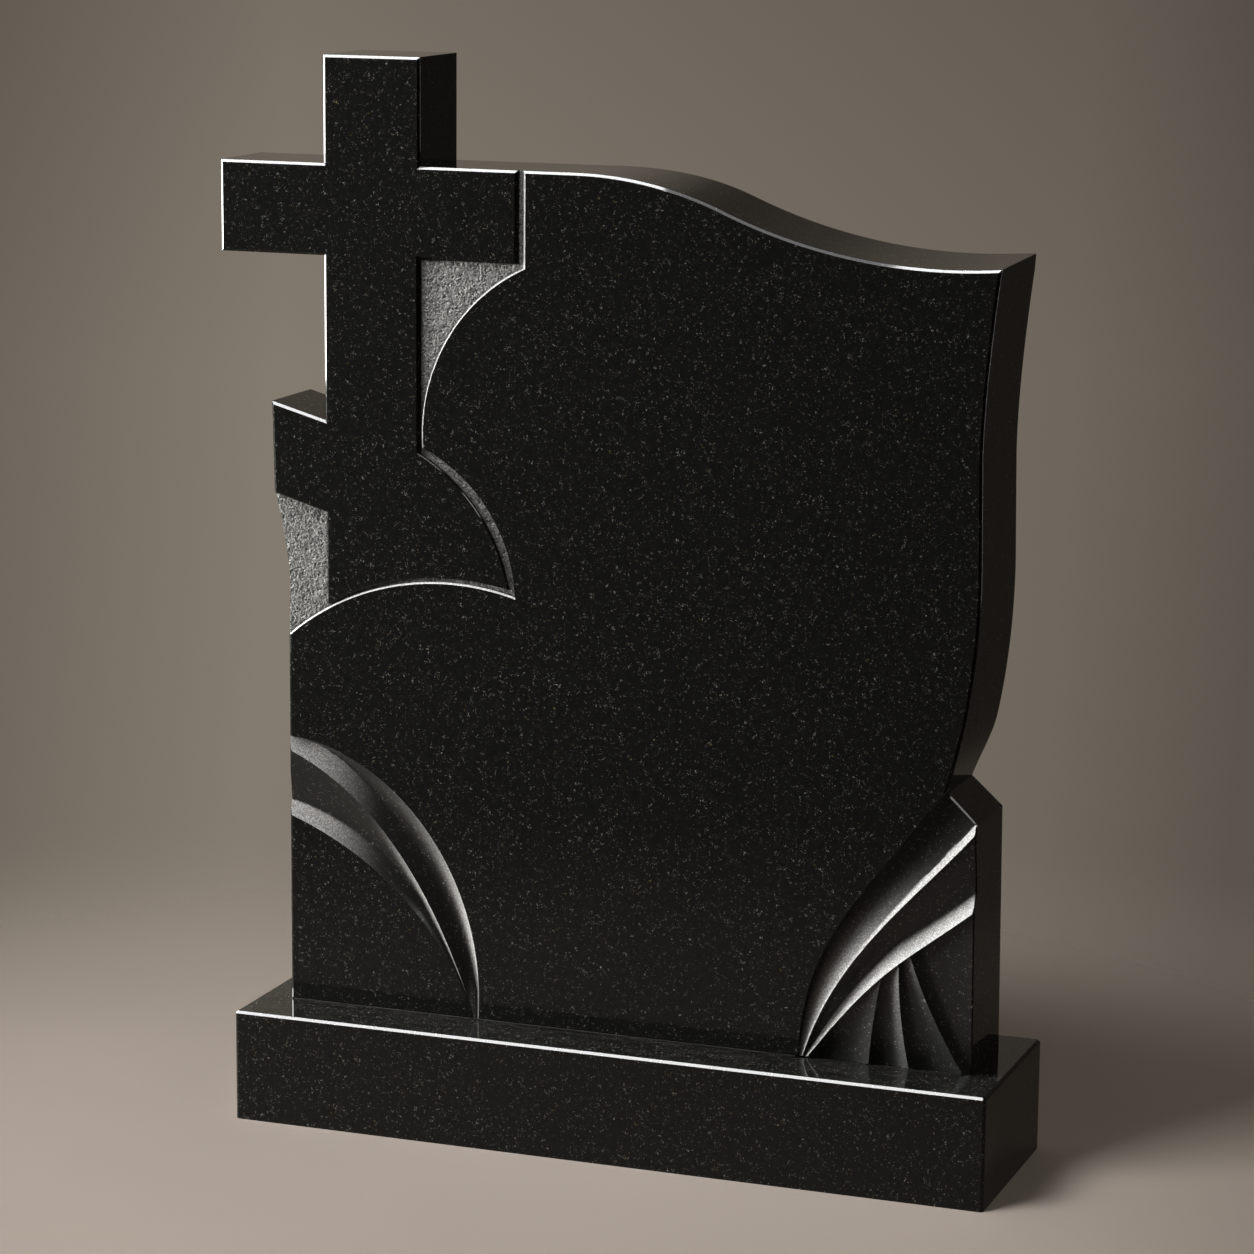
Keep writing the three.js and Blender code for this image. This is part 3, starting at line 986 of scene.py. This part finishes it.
def honed_granite(name, paint_lit_frost, sizes, colours):
    """The same stone carved with a grinding wheel: its grit frosts it pale grey, but the pale grey is
    painted only on the sides turned towards the light, as painted light, and the sides that look away
    keep a dark satin polish with flecks, as painted shade. The grit is under 0.3 mm and is drawn at
    about 1.5 mm."""
    material, tree, surface = new_material(name)
    spot = add(tree, "ShaderNodeTexCoord").outputs["Object"]
    # Painted light: the share of the frosted grey, by how much a side faces the light
    painted_lit_frost = paint_lit_frost(tree, spot)
    pale, _ = speckle(tree, spot, sizes.crystal)
    satin = add(
        tree,
        "ShaderNodeMix",
        {SHARE: pale, FIRST: colours.charcoal, SECOND: colours.crystal},
        data_type="RGBA",
    )
    grit = add(
        tree,
        "ShaderNodeTexNoise",
        {"Vector": spot, "Scale": 1 / 0.0016, "Detail": 3, "Roughness": 0.65, "Distortion": 0.8},
    )
    grain = add(
        tree,
        "ShaderNodeMapRange",
        {"Value": grit.outputs["Fac"], "From Min": 0.44, "From Max": 0.68},
    )
    # The frosted grey with its grit grain, painted where the sides face the light
    lit_frost_grey = add(
        tree,
        "ShaderNodeMix",
        {SHARE: grain.outputs["Result"], FIRST: colours.lit_frost_grey, SECOND: colours.lit_frost_grain},
        data_type="RGBA",
    )
    stone = add(
        tree,
        "ShaderNodeMix",
        {SHARE: painted_lit_frost, FIRST: satin.outputs[BLEND], SECOND: lit_frost_grey.outputs[BLEND]},
        data_type="RGBA",
    )
    gloss = add(tree, "ShaderNodeMapRange", {"Value": painted_lit_frost, "To Min": 0.28, "To Max": 0.48})
    surface.inputs["IOR"].default_value = 1.4
    tooth = add(tree, "ShaderNodeMapRange", {"Value": painted_lit_frost, "To Min": 0.1, "To Max": 0.5})
    bump = add(
        tree,
        "ShaderNodeBump",
        {"Height": grit.outputs["Fac"], "Strength": tooth.outputs["Result"], "Distance": 0.0005},
    )
    dress(tree, surface, stone, gloss, bump)
    return material


def hammered_granite(sizes, colours):
    """The same stone bruised with a bush hammer: matt, pale grey, with crumbs 2 to 3 mm across"""
    material, tree, surface = new_material("hammered_granite")
    spot = add(tree, "ShaderNodeTexCoord").outputs["Object"]
    crumb = add(
        tree,
        "ShaderNodeTexNoise",
        {
            "Vector": spot,
            "Scale": 0.6 / sizes.ground_grain,
            "Detail": 3,
            "Roughness": 0.6,
            "Distortion": 1.5,
        },
    )
    bruise = add(
        tree,
        "ShaderNodeMapRange",
        {"Value": crumb.outputs["Fac"], "From Min": 0.4, "From Max": 0.62},
    )
    tone = add(
        tree,
        "ShaderNodeMix",
        {SHARE: bruise.outputs["Result"], FIRST: colours.hammered, SECOND: colours.hammered_crumb},
        data_type="RGBA",
    )
    gloss = add(
        tree, "ShaderNodeMapRange", {"Value": crumb.outputs["Fac"], "To Min": 0.85, "To Max": 0.6}
    )
    surface.inputs["IOR"].default_value = 1.5
    bump = add(
        tree,
        "ShaderNodeBump",
        {"Height": crumb.outputs["Fac"], "Strength": 0.6, "Distance": 0.0008},
    )
    dress(tree, surface, tone, gloss, bump)
    return material


def setting_mortar(colours):
    """Cement mortar struck off along the joint: matt, pale grey and sandy"""
    material, tree, surface = new_material("setting_mortar")
    spot = add(tree, "ShaderNodeTexCoord").outputs["Object"]
    sand = add(tree, "ShaderNodeTexNoise", {"Vector": spot, "Scale": 1 / 0.003, "Detail": 3})
    darker = [part * 0.55 for part in colours.mortar]
    tone = add(
        tree,
        "ShaderNodeMix",
        {SHARE: sand.outputs["Fac"], FIRST: darker, SECOND: colours.mortar},
        data_type="RGBA",
    )
    gloss = add(
        tree, "ShaderNodeMapRange", {"Value": sand.outputs["Fac"], "To Min": 0.9, "To Max": 0.7}
    )
    bump = add(
        tree,
        "ShaderNodeBump",
        {"Height": sand.outputs["Fac"], "Strength": 0.4, "Distance": 0.0003},
    )
    dress(tree, surface, tone, gloss, bump)
    return material


def studio_floor(colours):
    """Seamless paper laid flat: matt, with faint blotches, fading out into the backdrop's colour with
    the distance from a spot a little left of and in front of the stone, which also paints a pool of
    light that dims outwards
    """
    material, tree, surface = new_material("seamless_paper")
    spot = add(tree, "ShaderNodeTexCoord").outputs["Object"]
    blotch = add(tree, "ShaderNodeTexNoise", {"Vector": spot, "Scale": 3, "Detail": 3})
    darker = [part * 0.93 for part in colours.floor]
    tone = add(
        tree,
        "ShaderNodeMix",
        {SHARE: blotch.outputs["Fac"], FIRST: darker, SECOND: colours.floor},
        data_type="RGBA",
    )
    tree.links.new(tone.outputs[BLEND], surface.inputs["Base Color"])
    surface.inputs["Roughness"].default_value = 0.9
    surface.inputs["Specular IOR Level"].default_value = 0
    fibre = add(tree, "ShaderNodeTexNoise", {"Vector": spot, "Scale": 400, "Detail": 2})
    bump = add(
        tree,
        "ShaderNodeBump",
        {"Height": fibre.outputs["Fac"], "Strength": 0.1, "Distance": 0.0004},
    )
    tree.links.new(bump.outputs["Normal"], surface.inputs["Normal"])
    # Painted light: the fade from this spot outwards also paints the dimming pool of light
    pool = add(tree, "ShaderNodeVectorMath", {0: spot, 1: (0.15, 0.05, 0)}, operation="ADD")
    distance = add(
        tree, "ShaderNodeVectorMath", {0: pool.outputs["Vector"]}, operation="LENGTH"
    )
    fade = add(
        tree,
        "ShaderNodeMapRange",
        {"Value": distance.outputs["Value"], "From Min": 0.5, "From Max": 1.65},
        interpolation_type="SMOOTHSTEP",
    )
    clear = add(tree, "ShaderNodeBsdfTransparent")
    faded = add(
        tree,
        "ShaderNodeMixShader",
        {0: fade.outputs["Result"], 1: surface.outputs["BSDF"], 2: clear.outputs["BSDF"]},
    )
    output = next(node for node in tree.nodes if node.type == "OUTPUT_MATERIAL")
    tree.links.new(faded.outputs["Shader"], output.inputs["Surface"])
    return material


# How the backdrop's brightness changes with a direction's part along an axis, and stays level
# beyond: the axis, the start, the end, and the brightness at each
BACKDROP_FALLS = (
    ("X", -0.49, -0.42, 0.62, 1),
    ("X", -0.42, -0.236, 1.37, 0.92),
    ("X", -0.236, -0.19, 1, 0.66),
    ("X", -0.19, 0.2, 1, 0.62),
    ("X", 0.36, 0.5, 1, 1.45),
    ("Y", -0.3, 0.5, 0.25, 1),
    ("Z", -0.13, -0.04, 1, 0.8),
    ("Z", 0, 0.2, 1, 1.6),
)


def studio_backdrop(colours):
    """A plain backdrop around the stone, with a soft glow behind and to the left of it"""
    world = bpy.data.worlds.new("studio")
    world.use_nodes = True
    tree = world.node_tree
    direction = add(tree, "ShaderNodeTexCoord").outputs["Generated"]
    parts = add(tree, "ShaderNodeSeparateXYZ", {"Vector": direction})
    strength = None
    for axis, start, end, first, last in BACKDROP_FALLS:
        fall = add(
            tree,
            "ShaderNodeMapRange",
            {
                "Value": parts.outputs[axis],
                "From Min": start,
                "From Max": end,
                "To Min": first,
                "To Max": last,
            },
        )
        if strength is None:
            strength = fall.outputs["Result"]
            continue
        product = add(
            tree,
            "ShaderNodeMath",
            {0: strength, 1: fall.outputs["Result"]},
            operation="MULTIPLY",
        )
        strength = product.outputs["Value"]
    background = tree.nodes["Background"]
    background.inputs["Color"].default_value = (*colours.backdrop, 1)
    tree.links.new(strength, background.inputs["Strength"])
    return world


# Stones


class HEADSTONE_OT_slab(bpy.types.Operator):
    """Build the carved slab, with the line of mortar below it"""

    bl_idname = "headstone.slab"
    bl_label = "Slab"

    def execute(self, context):
        sizes, colours = context.scene.headstone_sizes, context.scene.headstone_colours
        polished = polished_granite(sizes, colours)
        # The carving's materials paint their frosted grey only where the sides face the light, as
        # painted light
        fluted = honed_granite("honed_granite_flutes", flutes_lit_frost, sizes, colours)
        fanned = honed_granite("honed_granite_fan", fan_lit_frost, sizes, colours)
        rough = hammered_granite(sizes, colours)
        slab = slab_blank(sizes, polished)
        carve(slab, ground_cutter(sizes, polished, rough, fanned))
        carve(slab, carving_cutter("flute_cutter", flute_rows(sizes), fluted))
        carve(slab, carving_cutter("fan_cutter", fan_rows(sizes), fanned))
        arris = sizes.carving_arris / MM
        for start, end, steps in (
            ((RIGHT, TOE + 5), (RIGHT, BLOCK_Z - 1), 160),
            ((RIGHT - 0.5, BLOCK_Z + 0.5), (NOTCH[0] + 3, NOTCH[1] - 3), 40),
        ):
            carve(slab, edge_cutter(slab, start, end, arris, steps, polished))
        carve(slab, mortar_line(setting_mortar(colours)), "UNION")
        finish_piece(slab, "headstone_slab")
        return {"FINISHED"}


class HEADSTONE_OT_plinth(bpy.types.Operator):
    """Build the plinth with its chamfered top and upright corners"""

    bl_idname = "headstone.plinth"
    bl_label = "Plinth"

    def execute(self, context):
        sizes, colours = context.scene.headstone_sizes, context.scene.headstone_colours
        chamfer = sizes.chamfer / MM
        low, high = PLINTH_LOW, PLINTH_HIGH
        plan = ((low.x, low.y), (high.x, low.y), (high.x, high.y), (low.x, high.y))
        corners = [Vector(p) for p in plan]
        outline = []
        for i, corner in enumerate(corners):
            before = (corners[i - 1] - corner).normalized()
            after = (corners[(i + 1) % 4] - corner).normalized()
            outline += [corner + before * chamfer, corner + after * chamfer]
        bm = bmesh.new()
        rings = []
        for width, depth in edge_profile(chamfer, sizes.rounding / MM):
            loop = inset(outline, [width] * len(outline))
            rings.append([bm.verts.new(Vector((p.x, p.y, high.z - depth)) * MM) for p in loop])
        rings.append([bm.verts.new(Vector((p.x, p.y, low.z)) * MM) for p in outline])
        close_rings(bm, rings)
        plinth = new_piece("plinth_block", bm, [polished_granite(sizes, colours)])
        finish_piece(plinth, "plinth")
        return {"FINISHED"}


# Studio

# The camera, with its focal length in pixels of the square photograph and its turns in radians
SENSOR_WIDTH = 36
FRAME_SIDE = 1254
FOCAL_PIXELS = 4053.34
CAMERA_PLACE = Vector((1527.6, -4221.0, 1478.1)) * MM
CAMERA_YAW = 0.35002
CAMERA_PITCH = 0.19398
CAMERA_ROLL = 0.00876


def photo_camera(scene):
    """The photograph's viewpoint: from the right, a little above, with a long lens"""
    data = bpy.data.cameras.new("camera")
    data.sensor_width = SENSOR_WIDTH
    data.lens = FOCAL_PIXELS / FRAME_SIDE * SENSOR_WIDTH
    data.clip_end = 100
    camera = bpy.data.objects.new("camera", data)
    scene.collection.objects.link(camera)
    level = math.cos(CAMERA_PITCH)
    forward = Vector(
        (-math.sin(CAMERA_YAW) * level, math.cos(CAMERA_YAW) * level, -math.sin(CAMERA_PITCH))
    )
    right = Vector((math.cos(CAMERA_YAW), math.sin(CAMERA_YAW), 0))
    up = right.cross(forward)
    turned_right = right * math.cos(CAMERA_ROLL) + up * math.sin(CAMERA_ROLL)
    turned_up = up * math.cos(CAMERA_ROLL) - right * math.sin(CAMERA_ROLL)
    axes = Matrix((turned_right, turned_up, -forward)).transposed()
    camera.matrix_world = Matrix.Translation(CAMERA_PLACE) @ axes.to_4x4()
    scene.camera = camera


# Cards that show only as reflections in the stone: name, place, aim, width, height and radiance
GLOSS_CARDS = (
    ("overhead_strip", (-1.4, -0.75, 3.2), (-1.4, -0.75, 0), 2.6, 1.3, 62),
    ("overhead_end", (0.36, -0.75, 3.2), (0.36, -0.75, 0), 0.92, 1.3, 9),
    ("right_strip", (2.3, -1.4, 3.2), (0.4, 0, 0.4), 0.8, 0.8, 12),
    ("left_card", (-2.3, 0.45, 1.54), (0, 0.45, 1.54), 1.1, 1.92, 32),
    ("rim_card", (3, 1.3, 0.6), (0, 0, 0.6), 0.8, 1.2, 22),
    ("fan_card", (-2.3, -1.45, 1.4), (0.4, 0, 0.3), 0.9, 1.1, 9),
    ("front_card", (-1.2, -2.1, 1.6), (0, 0, 1.2), 1.2, 0.6, 5),
)

# Full lights, which shine on all but the floor (EXCLUDE) or on the floor alone (INCLUDE)
FULL_LIGHTS = (
    ("key", (-3.9, -1.2, 2.5), (0, 0, 0.6), 2, 2, 20, "EXCLUDE"),
    ("rake", (-3.2, -0.55, 0.75), (0, 0, 0.5), 0.8, 1.6, 40, "EXCLUDE"),
    ("floor_key", (-1.45, -1.9, 3.5), (0, 0, 0), 1.6, 1.6, 18, "INCLUDE"),
    ("floor_fill", (2.5, -1.5, 2.5), (0, 0, 0), 1, 1, 3, "INCLUDE"),
)


def softbox(scene, name, spot, aim, width, height, radiance):
    """A rectangular studio light of a given brightness, aimed at a point and hidden from the
    camera"""
    data = bpy.data.lights.new(name, "AREA")
    data.shape = "RECTANGLE"
    data.size, data.size_y = width, height
    data.energy = radiance * math.pi * width * height
    light = bpy.data.objects.new(name, data)
    scene.collection.objects.link(light)
    light.location = spot
    light.rotation_euler = (Vector(aim) - Vector(spot)).to_track_quat("-Z", "Y").to_euler()
    light.visible_camera = False
    return light


def share_floor(light, floor, state):
    """Let a light shine on the floor alone (INCLUDE) or on everything else (EXCLUDE)"""
    group = bpy.data.collections.new(f"{light.name}_floor")
    group.objects.link(floor)
    group.collection_objects[0].light_linking.link_state = state
    light.light_linking.receiver_collection = group


class HEADSTONE_OT_stage(bpy.types.Operator):
    """Lay the floor and set the lights, the backdrop's colour and the camera"""

    bl_idname = "headstone.stage"
    bl_label = "Stage"

    def execute(self, context):
        scene = context.scene
        colours = scene.headstone_colours
        bm = bmesh.new()
        bmesh.ops.create_circle(bm, cap_ends=True, segments=96, radius=3)
        floor = new_piece("studio_floor", bm, [studio_floor(colours)])
        scene.world = studio_backdrop(colours)
        for card in GLOSS_CARDS:
            softbox(scene, *card).visible_diffuse = False
        for *light, state in FULL_LIGHTS:
            share_floor(softbox(scene, *light), floor, state)
        scene.view_settings.view_transform = "Standard"
        photo_camera(scene)
        return {"FINISHED"}


# Sidebar and registration


class HEADSTONE_PT_panel(bpy.types.Panel):
    """Sizes, colours and building steps of the headstone"""

    bl_idname = "HEADSTONE_PT_panel"
    bl_label = "Granite Headstone"
    bl_space_type = "VIEW_3D"
    bl_region_type = "UI"
    bl_category = "Headstone"

    def draw(self, context):
        layout = self.layout
        for group in (context.scene.headstone_sizes, context.scene.headstone_colours):
            box = layout.box()
            for name in group.__annotations__:
                box.prop(group, name)
        for operator in OPERATORS:
            layout.operator(operator.bl_idname)


OPERATORS = (HEADSTONE_OT_stage, HEADSTONE_OT_slab, HEADSTONE_OT_plinth)
CLASSES = (HeadstoneSizes, HeadstoneColours, *OPERATORS, HEADSTONE_PT_panel)


def register():
    for cls in CLASSES:
        bpy.utils.register_class(cls)
    bpy.types.Scene.headstone_sizes = PointerProperty(type=HeadstoneSizes)
    bpy.types.Scene.headstone_colours = PointerProperty(type=HeadstoneColours)


def unregister():
    del bpy.types.Scene.headstone_colours
    del bpy.types.Scene.headstone_sizes
    for cls in reversed(CLASSES):
        bpy.utils.unregister_class(cls)


def main():
    register()
    bpy.ops.headstone.stage()
    bpy.ops.headstone.slab()
    bpy.ops.headstone.plinth()


if __name__ == "__main__":
    main()
